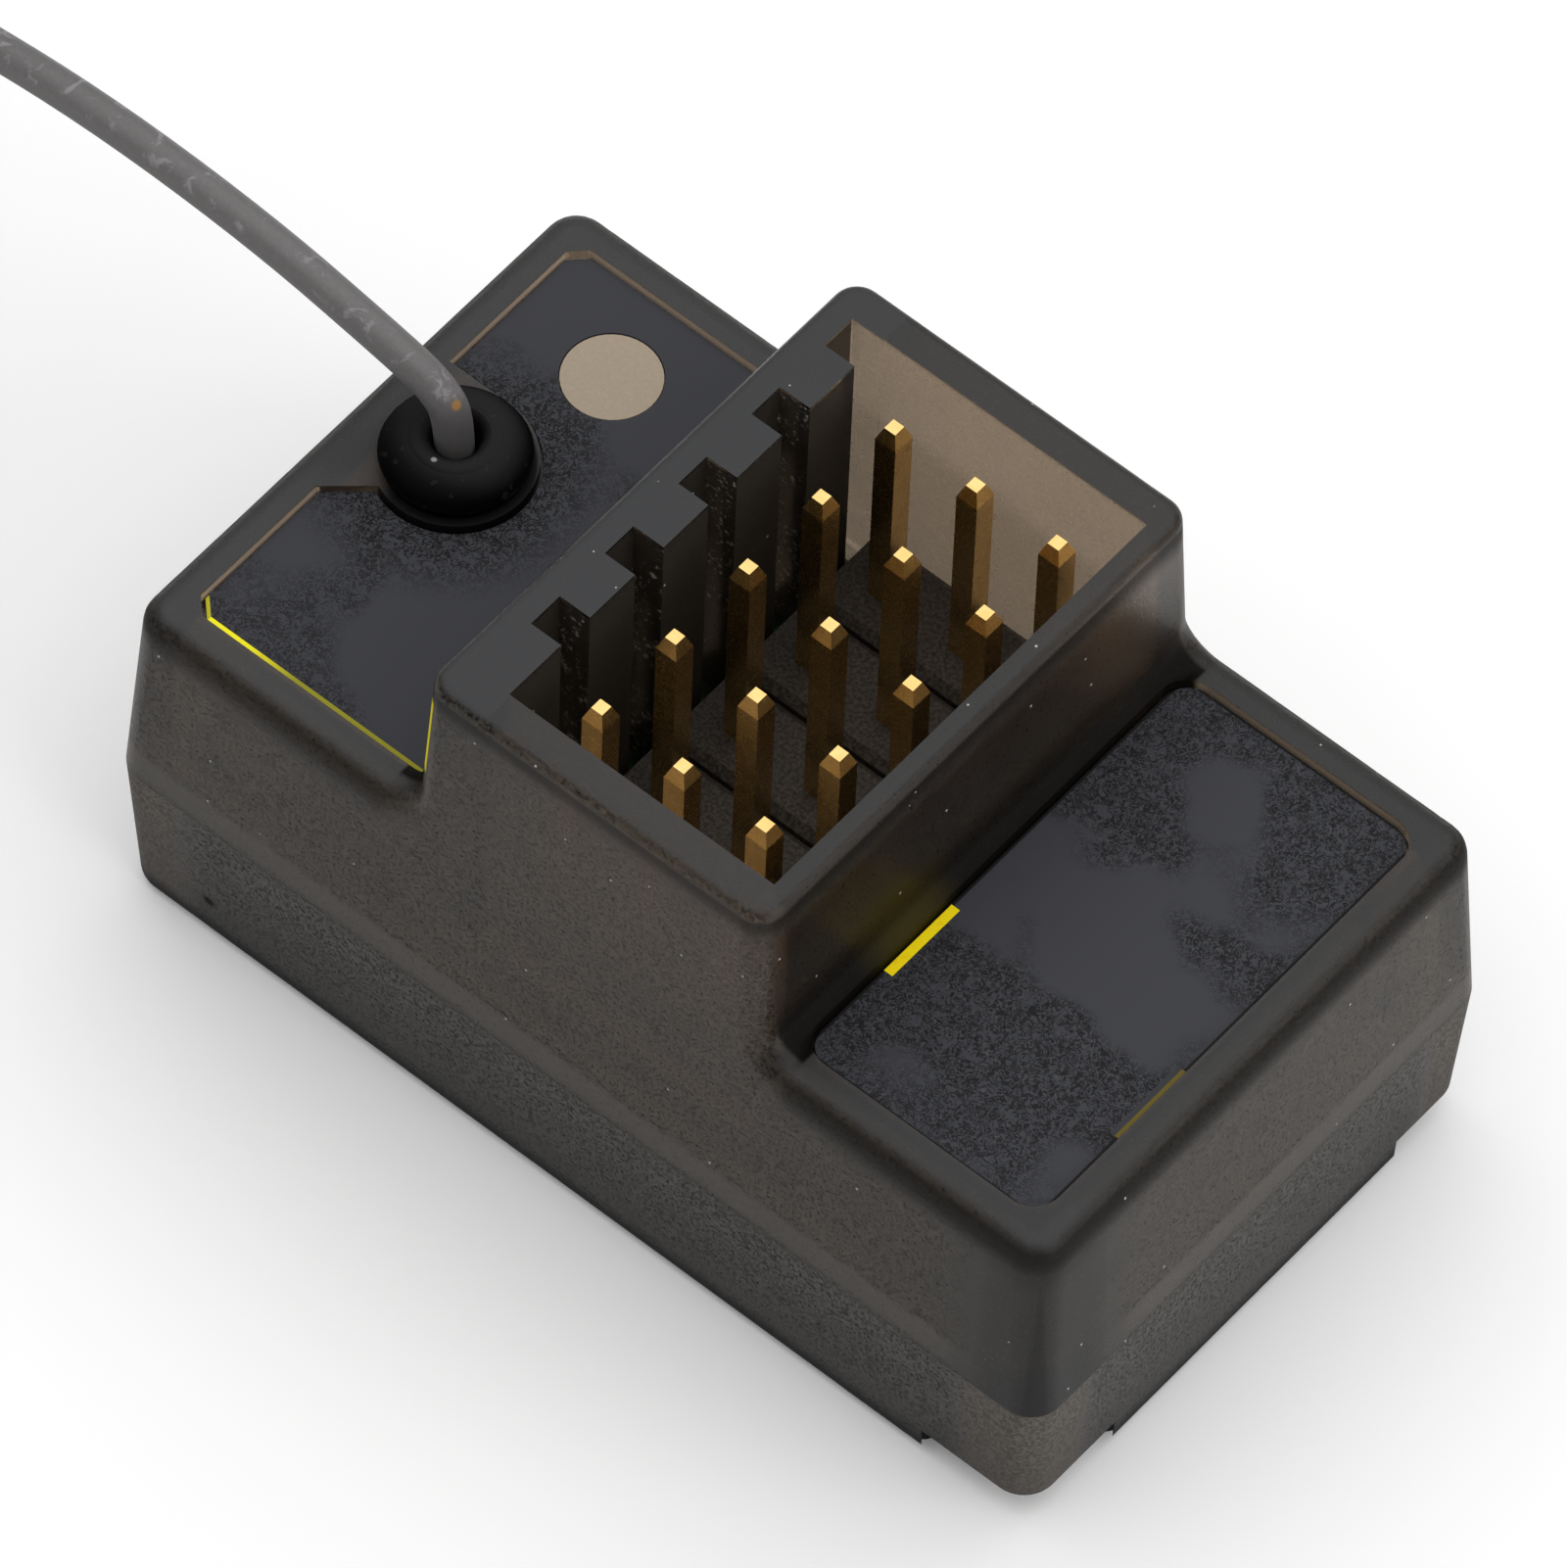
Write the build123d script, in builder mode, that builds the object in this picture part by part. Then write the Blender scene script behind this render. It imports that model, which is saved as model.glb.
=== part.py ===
from build123d import *
import math
import os

os.makedirs("parts", exist_ok=True)

# Sizes in millimetres. The body stands on its flat base, with the origin under its middle.
# X runs along the long side, Y along the short side and Z up.
body_length = 29.2
base_z = 0.0
seam_z = 5.0
deck_z = 11.4
tower_top_z = 16.7
corner_radius = 0.9
wall = 1.1
upper_draft = 0.051
lower_draft = 0.055

# The servo port tower
tower_end_wall = 0.6
tower_key_wall = 0.87
tower_side_wall = 1.048
tower_draft = 0.03
tower_rim_round = 0.35
deck_rim_round = 0.7
tower_foot_round = 0.8

# Servo ports: three pins each, one port beside the next along Y
pin_pitch = 2.54
port_pitch = 2.69
port_count = 5
pins_per_port = 3
pin_side = 0.64
pin_tip_side = 0.34
pin_tip_length = 0.42
pin_top_z = 16.1
pin_tail = 1.5
strip_height = 2.54
strip_gap = 0.12
strip_edge_chamfer = 0.22

# The hollow of the tower
port_end_gap = 0.24
port_side_gap = 0.13
key_gap = 0.34
key_depth = 0.93
key_width = 1.05
key_offset = 0.93

# Labels in shallow pockets
pocket_depth = 0.36
pocket_corner = 0.8
pocket_tower_gap = 0.42
pocket_rim = 1.0
label_gap = 0.08
label_thickness = 0.16
label_cut = 0.45
band_length = 2.5
band_offset = -2.85
band_width = 0.26
edge_stripe = 0.14

# Grommet, antenna and light window
grommet_inset = 2.97
grommet_y = 0.35
grommet_radius = 1.9
grommet_height = 0.95
grommet_neck = 1.25
grommet_flare = 1.65
grommet_tail = 0.4
grommet_mouth = 0.86
grommet_mouth_depth = 1.35
land_radius = 2.05
land_flare = 0.88
cable_diameter = 1.0
cable_play = 0.02
solder_inset = 0.1
lead_rise = 1.38
lead_spread = 2.6
solder_length = 0.4
exit_rise = 2.47
coil_radius = 5.5
coil_band = 2.05
coil_band_chamfer = 0.5
coil_gap_x = 16.8
coil_y = -8.4
coil_stub = 4.4
tip_diameter = 0.7
tip_length = 7.0
tip_cap_length = 1.5
floor_gap = 0.05
window_inset = 4.17
window_side_inset = 3.423
window_radius = 1.3

# The circuit board and what stands on it
board_thickness = 1.0
board_gap = 0.25
board_top_z = 6.66
skirt_gap = 0.75
rib_side = 0.9
rib_y = 5.2
board_post = 1.6
chip_height = 0.9
chip_edge = 0.12
capacitor_length = 1.6
capacitor_side = 0.8
solder_height = 0.5
solder_reach = 0.45

# Clearances of the two shells
lip_height = 0.8
lip_thickness = 0.5
lip_gap = 0.06
notch_height = 1.05
notch_length = 3.3
notch_width_front = 3.2
notch_width_back = 2.6
notch_corner = 1.4
notch_round_front = 0.8
notch_round_back = 1.8
base_round = 0.5
floor_thickness = 1.2

board_bottom_z = board_top_z - board_thickness
pocket_floor_z = deck_z - pocket_depth
ceiling_z = deck_z - wall
port_length = pin_pitch * pins_per_port
hollow_length = port_end_gap + port_length + key_gap + key_depth
tower_length_top = tower_end_wall + hollow_length + tower_key_wall
hollow_y = port_pitch * port_count / 2 + port_side_gap
body_width = 2 * (hollow_y + tower_side_wall + upper_draft * (tower_top_z - seam_z))


def half_length(z):
    """Half the body's length at a height: it narrows away from the seam, up and down."""
    draft = upper_draft if z > seam_z else lower_draft
    return body_length / 2 - draft * abs(z - seam_z)


def half_width(z):
    draft = upper_draft if z > seam_z else lower_draft
    return body_width / 2 - draft * abs(z - seam_z)


def tower_half(z):
    return tower_length_top / 2 + tower_draft * (tower_top_z - z)


hollow_x_max = tower_length_top / 2 - tower_end_wall
pin_group_x = hollow_x_max - port_end_gap - port_length / 2
port_rows = [port_pitch * (index - (port_count - 1) / 2) for index in range(port_count)]
pin_columns = [pin_group_x + pin_pitch * (index - 1) for index in range(pins_per_port)]
rib_tip_x = pin_group_x - port_length / 2 - key_gap
key_floor_x = rib_tip_x - key_depth
pocket_tower_x = tower_half(deck_z) + pocket_tower_gap
pocket_end_x = half_length(deck_z) - pocket_rim
pocket_side_y = half_width(deck_z) - pocket_rim
grommet_x = grommet_inset - half_length(deck_z)
window_x = window_inset - half_length(deck_z)
window_y = half_width(deck_z) - window_side_inset
skirt_z = board_top_z + skirt_gap


def make_land(radius):
    """Cuts the raised land round the grommet out of the sketch: a disc that runs on to the end."""
    with Locations((grommet_x, grommet_y)):
        Circle(radius, mode=Mode.SUBTRACT)
    flare_x = grommet_x - 0.4 * radius
    flare_y = grommet_y - 0.9 * radius
    land_corners = (
        (grommet_x, grommet_y),
        (grommet_x, grommet_y + radius),
        (-half_length(deck_z), grommet_y + radius),
        (-half_length(deck_z), flare_y - land_flare * (half_length(deck_z) + flare_x)),
        (flare_x, flare_y),
    )
    Polygon(*land_corners, align=None, mode=Mode.SUBTRACT)


# Upper shell: one drafted block, cut away on both sides of the tower down to the decks
with BuildPart() as upper_shell:
    for z in (seam_z, tower_top_z):
        with BuildSketch(Plane.XY.offset(z)):
            RectangleRounded(2 * half_length(z), 2 * half_width(z), corner_radius)
    loft()
    above_z = tower_top_z + 1
    with BuildSketch(Plane.XZ) as deck_space:
        with BuildLine():
            Polyline(
                (tower_half(above_z), above_z),
                (tower_half(deck_z), deck_z),
                (body_length, deck_z),
                (body_length, above_z),
                close=True,
            )
        make_face()
        # The tower stands on the decks with a concave round
        fillet(deck_space.vertices().sort_by_distance((0, 0, 0))[0], tower_foot_round)
        mirror(about=Plane.YZ)
    extrude(amount=body_width, both=True, mode=Mode.SUBTRACT)
    # One round follows the deck's rim, the tower's foot and the tower's corners
    upper_edges = upper_shell.edges().filter_by_position(Axis.Z, deck_z - 0.01, tower_top_z - 0.1)
    across = upper_edges.filter_by(Axis.Y)
    foot_lines = across.filter_by_position(Axis.X, -body_length / 4, body_length / 4)
    fillet(upper_edges - foot_lines, deck_rim_round)
    fillet(upper_shell.edges().group_by(Axis.Z)[-1], tower_rim_round)
    # End chambers under the two decks
    for side in (-1, 1):
        chamber_outer = half_length(ceiling_z) - wall
        chamber_inner = tower_half(ceiling_z) + 0.1
        chamber_middle = side * (chamber_outer + chamber_inner) / 2
        with BuildSketch(Plane.XY.offset(seam_z)):
            with Locations((chamber_middle, 0)):
                Rectangle(chamber_outer - chamber_inner, 2 * (half_width(ceiling_z) - wall))
        extrude(amount=ceiling_z - seam_z, mode=Mode.SUBTRACT)
    # The middle is open below the tower's skirt
    with BuildSketch(Plane.XY.offset(seam_z)):
        Rectangle(2 * (half_length(ceiling_z) - wall), 2 * (half_width(ceiling_z) - wall))
    extrude(amount=skirt_z - seam_z, mode=Mode.SUBTRACT)
    # A step inside the bottom edge takes the lip of the lower shell
    with BuildSketch(Plane.XY.offset(seam_z)):
        step_inset = wall - lip_thickness - lip_gap
        RectangleRounded(body_length - 2 * step_inset, body_width - 2 * step_inset, corner_radius - 0.3)
    extrude(amount=lip_height + lip_gap, mode=Mode.SUBTRACT)
    # The hollow of the tower, open at the top and down to the header strips
    with BuildSketch(Plane.XY.offset(skirt_z)):
        with Locations(((rib_tip_x + hollow_x_max) / 2, 0)):
            Rectangle(hollow_x_max - rib_tip_x, 2 * hollow_y)
        for row in port_rows:
            slot_min = row + key_offset - key_width / 2
            slot_max = min(row + key_offset + key_width / 2, hollow_y)
            with Locations(((key_floor_x + rib_tip_x) / 2, (slot_min + slot_max) / 2)):
                Rectangle(key_depth + 0.02, slot_max - slot_min)
    extrude(amount=tower_top_z - skirt_z, mode=Mode.SUBTRACT)
    # Label pockets on both decks; the antenna's side keeps a land round the grommet
    pocket_middle_x = (pocket_tower_x + pocket_end_x) / 2
    pocket_length = pocket_end_x - pocket_tower_x
    with BuildSketch(Plane.XY.offset(pocket_floor_z)) as outer_pocket:
        with Locations((pocket_middle_x, 0)):
            RectangleRounded(pocket_length, 2 * pocket_side_y, pocket_corner)
    extrude(amount=pocket_depth + tower_foot_round, mode=Mode.SUBTRACT)
    with BuildSketch(Plane.XY.offset(pocket_floor_z)) as antenna_pocket:
        with Locations((-pocket_middle_x, 0)):
            Rectangle(pocket_length, 2 * pocket_side_y)
        outer_corners = antenna_pocket.vertices().group_by(Axis.X)[0]
        chamfer(outer_corners, label_cut)
        make_land(land_radius)
    extrude(amount=pocket_depth + tower_foot_round, mode=Mode.SUBTRACT)
    # Hole for the neck of the grommet
    with Locations((grommet_x, grommet_y, deck_z)):
        Cylinder(grommet_neck, 2 * wall + 0.2, mode=Mode.SUBTRACT)
    # Ribs on the end walls press on the circuit board
    for side in (-1, 1):
        rib_x = side * (half_length(ceiling_z) - wall - rib_side / 2 + 0.1)
        with BuildSketch(Plane.XY.offset(board_top_z)):
            with Locations((rib_x, -rib_y), (rib_x, rib_y)):
                Rectangle(rib_side, rib_side)
        extrude(amount=ceiling_z - board_top_z + 0.1)
upper_shell.part.label = "upper_shell"
export_step(upper_shell.part, "parts/upper_shell.step")

# Lower shell: drafted tray with two corner recesses in its underside
with BuildPart() as lower_shell:
    for z in (base_z, seam_z):
        with BuildSketch(Plane.XY.offset(z)):
            RectangleRounded(2 * half_length(z), 2 * half_width(z), corner_radius)
    loft()
    fillet(lower_shell.edges().group_by(Axis.Z)[0], base_round)
    tray_x = half_length(base_z) - wall
    tray_y = half_width(base_z) - wall
    with BuildSketch(Plane.XY.offset(floor_thickness)):
        Rectangle(2 * tray_x, 2 * tray_y)
    extrude(amount=seam_z - floor_thickness, mode=Mode.SUBTRACT)
    # The floor is raised over the corner recesses
    for side in (-1, 1):
        block_x = tray_x - notch_length / 2
        block_y = side * (tray_y - notch_width_front / 2)
        with Locations((block_x, block_y, floor_thickness + notch_height / 2)):
            Box(notch_length, notch_width_front, notch_height)
    # The ends of the base beside each recess are rounded, more on the far side
    with BuildSketch(Plane.XY.offset(base_z)):
        for side, notch_width, base_end_round in (
            (-1, notch_width_front, notch_round_front),
            (1, notch_width_back, notch_round_back),
        ):
            with Locations((half_length(base_z), side * half_width(base_z))):
                RectangleRounded(2 * notch_length, 2 * notch_width, notch_corner)
            end_x = half_length(base_z) - notch_length
            side_y = half_width(base_z)
            with Locations((end_x - base_end_round / 2, side * (side_y - base_end_round / 2))):
                Rectangle(base_end_round, base_end_round)
            with Locations((end_x - base_end_round, side * (side_y - base_end_round))):
                Circle(base_end_round, mode=Mode.SUBTRACT)
            side_x = half_length(base_z)
            end_y = half_width(base_z) - notch_width
            with Locations((side_x - base_end_round / 2, side * (end_y - base_end_round / 2))):
                Rectangle(base_end_round, base_end_round)
            with Locations((side_x - base_end_round, side * (end_y - base_end_round))):
                Circle(base_end_round, mode=Mode.SUBTRACT)
    extrude(amount=notch_height, mode=Mode.SUBTRACT)
    # The lip stands inside the upper shell
    lip_outer_x = body_length / 2 - (wall - lip_thickness)
    lip_outer_y = body_width / 2 - (wall - lip_thickness)
    with BuildSketch(Plane.XY.offset(seam_z)):
        RectangleRounded(2 * lip_outer_x, 2 * lip_outer_y, corner_radius - 0.35)
        Rectangle(2 * tray_x, 2 * tray_y, mode=Mode.SUBTRACT)
    extrude(amount=lip_height)
    # Posts carry the circuit board
    post_height = board_bottom_z - floor_thickness
    for side_x in (-1, 1):
        for side_y in (-1, 1):
            post_place = (side_x * (tray_x - board_post / 2), side_y * (tray_y - board_post / 2))
            with Locations((post_place[0], post_place[1], floor_thickness + post_height / 2)):
                Box(board_post, board_post, post_height)
lower_shell.part.label = "lower_shell"
export_step(lower_shell.part, "parts/lower_shell.step")

board_x = tray_x - board_gap
board_y = tray_y - board_gap
with BuildPart() as circuit_board:
    with BuildSketch(Plane.XY.offset(board_bottom_z)):
        RectangleRounded(2 * board_x, 2 * board_y, 0.6)
        for row in port_rows:
            for column in pin_columns:
                with Locations((column, row)):
                    Circle(0.5, mode=Mode.SUBTRACT)
    extrude(amount=board_thickness)
circuit_board.part.label = "circuit_board"
export_step(circuit_board.part, "parts/circuit_board.step")

# Five header strips, each holding the three pins of one port
for index, row in enumerate(port_rows):
    with BuildPart() as header_strip:
        with BuildSketch(Plane.XY.offset(board_top_z)):
            with Locations((pin_group_x, row)):
                Rectangle(port_length, port_pitch - strip_gap)
        extrude(amount=strip_height)
        long_edges = header_strip.edges().filter_by(Axis.X).group_by(Axis.Z)[-1]
        chamfer(long_edges, strip_edge_chamfer)
        with BuildSketch(Plane.XY.offset(board_top_z)):
            for column in pin_columns:
                with Locations((column, row)):
                    Rectangle(pin_side, pin_side)
        extrude(amount=strip_height, mode=Mode.SUBTRACT)
    strip_name = f"header_strip_{index + 1}"
    header_strip.part.label = strip_name
    export_step(header_strip.part, f"parts/{strip_name}.step")

# Fifteen square pins with tapered tips at both ends
pin_bottom_z = board_bottom_z - pin_tail
column_names = ("signal_pin", "power_pin", "ground_pin")
for name, column in zip(column_names, pin_columns):
    for index, row in enumerate(port_rows):
        with BuildPart() as pin:
            with BuildSketch(Plane.XY.offset(pin_bottom_z + pin_tip_length)):
                with Locations((column, row)):
                    Rectangle(pin_side, pin_side)
            extrude(amount=pin_top_z - pin_bottom_z - 2 * pin_tip_length)
            tip_ends = (
                (pin_top_z - pin_tip_length, pin_top_z),
                (pin_bottom_z + pin_tip_length, pin_bottom_z),
            )
            for wide_z, narrow_z in tip_ends:
                with BuildSketch(Plane.XY.offset(wide_z)):
                    with Locations((column, row)):
                        Rectangle(pin_side, pin_side)
                with BuildSketch(Plane.XY.offset(narrow_z)):
                    with Locations((column, row)):
                        Rectangle(pin_tip_side, pin_tip_side)
                loft()
        pin_name = f"{name}_{index + 1}"
        pin.part.label = pin_name
        export_step(pin.part, f"parts/{pin_name}.step")

# A solder cone round each pin under the board, drawn with eight sides
solder_rings = ((board_bottom_z, pin_side / 2 + solder_reach), (board_bottom_z - solder_height, 0.72 * pin_side))
with BuildPart() as pin_solder:
    for row in port_rows:
        for column in pin_columns:
            for z, radius in solder_rings:
                with BuildSketch(Plane.XY.offset(z)):
                    with Locations((column, row)):
                        RegularPolygon(radius, 8)
                        Rectangle(pin_side, pin_side, mode=Mode.SUBTRACT)
            loft()
pin_solder.part.label = "pin_solder"
export_step(pin_solder.part, "parts/pin_solder.step")

# The board's larger parts stand under the decks, on both sides of the header strips
room_start = tower_half(ceiling_z) + wall / 2
room = board_x - room_start
room_middle = room_start + room / 2


def board_block(name, place, size, height):
    """A part on the board, with its top edges broken."""
    with BuildPart() as block:
        with BuildSketch(Plane.XY.offset(board_top_z)):
            with Locations(place):
                Rectangle(*size)
        extrude(amount=height)
        chamfer(block.edges().group_by(Axis.Z)[-1], chip_edge)
    block.part.label = name
    export_step(block.part, f"parts/{name}.step")


controller_side = 0.62 * room
radio_side = 0.5 * room
board_block(
    "microcontroller",
    (room_middle - 0.05 * room, -0.45 * board_y),
    (controller_side, controller_side),
    chip_height,
)
board_block("radio_chip", (room_middle, 0.33 * board_y), (radio_side, radio_side), chip_height)
lead_room = -room_start - grommet_x - cable_diameter / 2
board_block(
    "crystal",
    (-room_start - 0.62 * lead_room, -0.65 * board_y),
    (0.45 * lead_room, 0.38 * lead_room),
    0.8 * chip_height,
)
board_block(
    "voltage_regulator",
    (-room_start - 0.27 * lead_room, 0.62 * board_y),
    (0.32 * lead_room, 0.55 * lead_room),
    1.2 * chip_height,
)

capacitor_y = board_y - capacitor_side
capacitor_start = room_start + capacitor_length / 2
capacitor_places = [
    (room_middle, capacitor_y),
    (room_middle - capacitor_length - chip_edge, capacitor_y),
    (capacitor_start, 0),
    (-capacitor_start, -capacitor_y),
    (-capacitor_start, 0.2 * board_y),
]
with BuildPart() as ceramic_capacitors:
    with Locations(*[(x, y, board_top_z + capacitor_side / 2) for x, y in capacitor_places]):
        Box(capacitor_length, capacitor_side, capacitor_side)
ceramic_capacitors.part.label = "ceramic_capacitors"
export_step(ceramic_capacitors.part, "parts/ceramic_capacitors.step")

led_side = 0.6 * window_radius
with BuildPart() as status_led:
    with Locations((window_x, window_y, board_top_z + led_side / 4)):
        Box(led_side, 2 * led_side, led_side / 2)
    with Locations((window_x, window_y, board_top_z + 0.7 * led_side)):
        Box(0.9 * led_side, 1.3 * led_side, 0.4 * led_side)
status_led.part.label = "status_led"
export_step(status_led.part, "parts/status_led.step")

# Labels: thin sheets in the pockets, with a clear edge all round
label_outer_x = pocket_end_x - label_gap
label_inner_x = pocket_tower_x + label_gap
label_y = pocket_side_y - label_gap
label_middle_x = (label_outer_x + label_inner_x) / 2
label_length = label_outer_x - label_inner_x
with BuildPart() as outer_label:
    with BuildSketch(Plane.XY.offset(pocket_floor_z)):
        with Locations((label_middle_x, 0)):
            RectangleRounded(label_length, 2 * label_y, pocket_corner - label_gap)
        for edge_x in (label_inner_x + band_width / 2, label_outer_x - band_width / 2):
            with Locations((edge_x, band_offset)):
                Rectangle(band_width, band_length, mode=Mode.SUBTRACT)
    extrude(amount=label_thickness)
outer_label.part.label = "outer_label"
export_step(outer_label.part, "parts/outer_label.step")

with BuildPart() as outer_label_band:
    with BuildSketch(Plane.XY.offset(pocket_floor_z)):
        for edge_x in (label_inner_x + band_width / 2, label_outer_x - band_width / 2):
            with Locations((edge_x, band_offset)):
                Rectangle(band_width, band_length)
    extrude(amount=label_thickness)
outer_label_band.part.label = "outer_label_band"
export_step(outer_label_band.part, "parts/outer_label_band.step")

stripe_length = label_length - label_cut
with BuildPart() as antenna_label:
    with BuildSketch(Plane.XY.offset(pocket_floor_z)) as antenna_outline:
        with Locations((-label_middle_x, 0)):
            Rectangle(label_length, 2 * label_y)
        chamfer(antenna_outline.vertices().group_by(Axis.X)[0], label_cut)
        make_land(land_radius + label_gap)
        with Locations((window_x, window_y)):
            Circle(window_radius, mode=Mode.SUBTRACT)
        with Locations((-label_inner_x - stripe_length / 2, -label_y + edge_stripe / 2)):
            Rectangle(stripe_length, edge_stripe, mode=Mode.SUBTRACT)
    extrude(amount=label_thickness)
antenna_label.part.label = "antenna_label"
export_step(antenna_label.part, "parts/antenna_label.step")

# The label's coloured front edge
with BuildPart() as antenna_label_edge:
    with BuildSketch(Plane.XY.offset(pocket_floor_z)):
        with Locations((-label_inner_x - stripe_length / 2, -label_y + edge_stripe / 2)):
            Rectangle(stripe_length, edge_stripe)
    extrude(amount=label_thickness)
antenna_label_edge.part.label = "antenna_label_edge"
export_step(antenna_label_edge.part, "parts/antenna_label_edge.step")

with BuildPart() as light_window:
    with BuildSketch(Plane.XY.offset(pocket_floor_z)):
        with Locations((window_x, window_y)):
            Circle(window_radius - 0.03)
    extrude(amount=label_thickness - 0.02)
light_window.part.label = "light_window"
export_step(light_window.part, "parts/light_window.step")

# Rubber grommet: domed flange above the deck, neck through the wall, flare below
cable_radius = cable_diameter / 2
dome_top_z = deck_z + grommet_height
grommet_bottom_z = ceiling_z - grommet_tail
hole_x = grommet_x + cable_radius + cable_play
crown_x = grommet_x + grommet_mouth + 0.05 * grommet_radius
flange_x = grommet_x + grommet_radius
neck_x = grommet_x + grommet_neck
with BuildPart() as antenna_grommet:
    with BuildSketch(Plane.XZ.offset(-grommet_y)):
        with BuildLine():
            Polyline(
                (flange_x, deck_z + 0.3 * grommet_height),
                (flange_x - 0.05 * grommet_radius, deck_z),
                (neck_x, deck_z),
                (neck_x, ceiling_z),
                (grommet_x + grommet_flare, ceiling_z),
                (neck_x, grommet_bottom_z),
                (hole_x, grommet_bottom_z),
                (hole_x, dome_top_z - grommet_mouth_depth),
                (grommet_x + grommet_mouth, dome_top_z),
                (crown_x, dome_top_z),
            )
            ThreePointArc(
                (crown_x, dome_top_z),
                (grommet_x + 0.85 * grommet_radius, deck_z + 0.72 * grommet_height),
                (flange_x, deck_z + 0.3 * grommet_height),
            )
        make_face()
    revolve(axis=Axis((grommet_x, grommet_y, 0), (0, 0, 1)))
antenna_grommet.part.label = "antenna_grommet"
export_step(antenna_grommet.part, "parts/antenna_grommet.step")

# Antenna lead: along the board, up through the grommet, over the end and down to the floor
lead_on_board_z = board_top_z + cable_radius
lead_start_y = solder_length + solder_inset - board_y
exit_corner_z = deck_z + exit_rise
crest_z = exit_corner_z + lead_rise
lead_end_z = coil_band - cable_radius - floor_gap
coil_x = -half_length(deck_z) - coil_gap_x
coil_side_x = coil_x - coil_radius
reach_x = coil_side_x - grommet_x
fall_z = crest_z - lead_end_z
tip_z = cable_radius + floor_gap
lead_points = [
    (grommet_x, lead_start_y, lead_on_board_z),
    (grommet_x, grommet_y, lead_on_board_z),
    (grommet_x, grommet_y, exit_corner_z),
    (grommet_x + 0.246 * reach_x, grommet_y, crest_z - 0.1 * lead_rise),
    (grommet_x + 0.465 * reach_x, grommet_y, crest_z),
    (grommet_x + 0.67 * reach_x, grommet_y, crest_z - 0.06 * fall_z),
    (grommet_x + 0.838 * reach_x, grommet_y + 0.45 * lead_spread, crest_z - 0.22 * fall_z),
    (grommet_x + 0.955 * reach_x, grommet_y + 0.86 * lead_spread, crest_z - 0.49 * fall_z),
    (coil_side_x, grommet_y + 0.7 * lead_spread, crest_z - 0.79 * fall_z),
    (coil_side_x, grommet_y - 0.4 * lead_spread, lead_end_z),
    (coil_side_x, coil_y + coil_stub, lead_end_z),
]
runs = [Vector(*end) - Vector(*start) for start, end in zip(lead_points, lead_points[1:])]
bend_radii = []
for before, after in zip(runs, runs[1:]):
    half_turn = math.radians(before.get_angle(after)) / 2
    bend_radii.append(0.45 * min(before.length, after.length) / math.tan(half_turn))
print("lead bend radii", [round(radius, 2) for radius in bend_radii])

with BuildPart() as antenna_lead:
    with BuildLine() as lead_path:
        FilletPolyline(*lead_points, radius=bend_radii)
    with BuildSketch(Plane(origin=lead_points[0], z_dir=(0, 1, 0))):
        Circle(cable_radius)
    sweep()
lead_length = lead_path.wire().length
lead_section = math.pi * cable_radius**2
print("lead length", round(lead_length, 2), "volume", round(antenna_lead.part.volume, 3))
print("section times length", round(lead_section * lead_length, 3))
antenna_lead.part.label = "antenna_lead"
export_step(antenna_lead.part, "parts/antenna_lead.step")

# The rest of the lead is wound into a neat ring on the floor
with BuildPart() as antenna_coil:
    with BuildSketch(Plane.XZ.offset(-coil_y)) as coil_band_section:
        with Locations((coil_x + coil_radius, coil_band / 2)):
            Rectangle(coil_band, coil_band)
        chamfer(coil_band_section.vertices(), coil_band_chamfer)
    revolve(axis=Axis((coil_x, coil_y, 0), (0, 0, 1)))
    with BuildSketch(Plane.XZ.offset(-coil_y - coil_stub)):
        with Locations((coil_side_x, lead_end_z)):
            Circle(cable_radius)
    extrude(amount=coil_stub)
    with BuildSketch(Plane.YZ.offset(coil_x)):
        with Locations((coil_y - coil_radius, tip_z)):
            Circle(cable_radius)
    extrude(amount=coil_stub)
antenna_coil.part.label = "antenna_coil"
export_step(antenna_coil.part, "parts/antenna_coil.step")

# The bare end of the antenna with its cap
with BuildPart() as antenna_tip:
    with BuildSketch(Plane.YZ.offset(coil_x + coil_stub)):
        with Locations((coil_y - coil_radius, tip_z)):
            Circle(tip_diameter / 2)
    extrude(amount=tip_length)
    with BuildSketch(Plane.YZ.offset(coil_x + coil_stub + tip_length)):
        with Locations((coil_y - coil_radius, tip_z)):
            Circle(cable_radius)
    extrude(amount=tip_cap_length)
antenna_tip.part.label = "antenna_tip"
export_step(antenna_tip.part, "parts/antenna_tip.step")

# Solder holds the lead's end on the board
with BuildPart() as antenna_solder:
    solder_y = lead_start_y - solder_length / 2
    with Locations((grommet_x, solder_y, board_top_z + 0.4 * cable_diameter)):
        Box(1.3 * cable_diameter, solder_length, 0.8 * cable_diameter)
    fillet(antenna_solder.edges().group_by(Axis.Z)[-1], solder_length / 3)
antenna_solder.part.label = "antenna_solder"
export_step(antenna_solder.part, "parts/antenna_solder.step")
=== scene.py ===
import math

import bpy
from mathutils import Matrix, Vector


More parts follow.
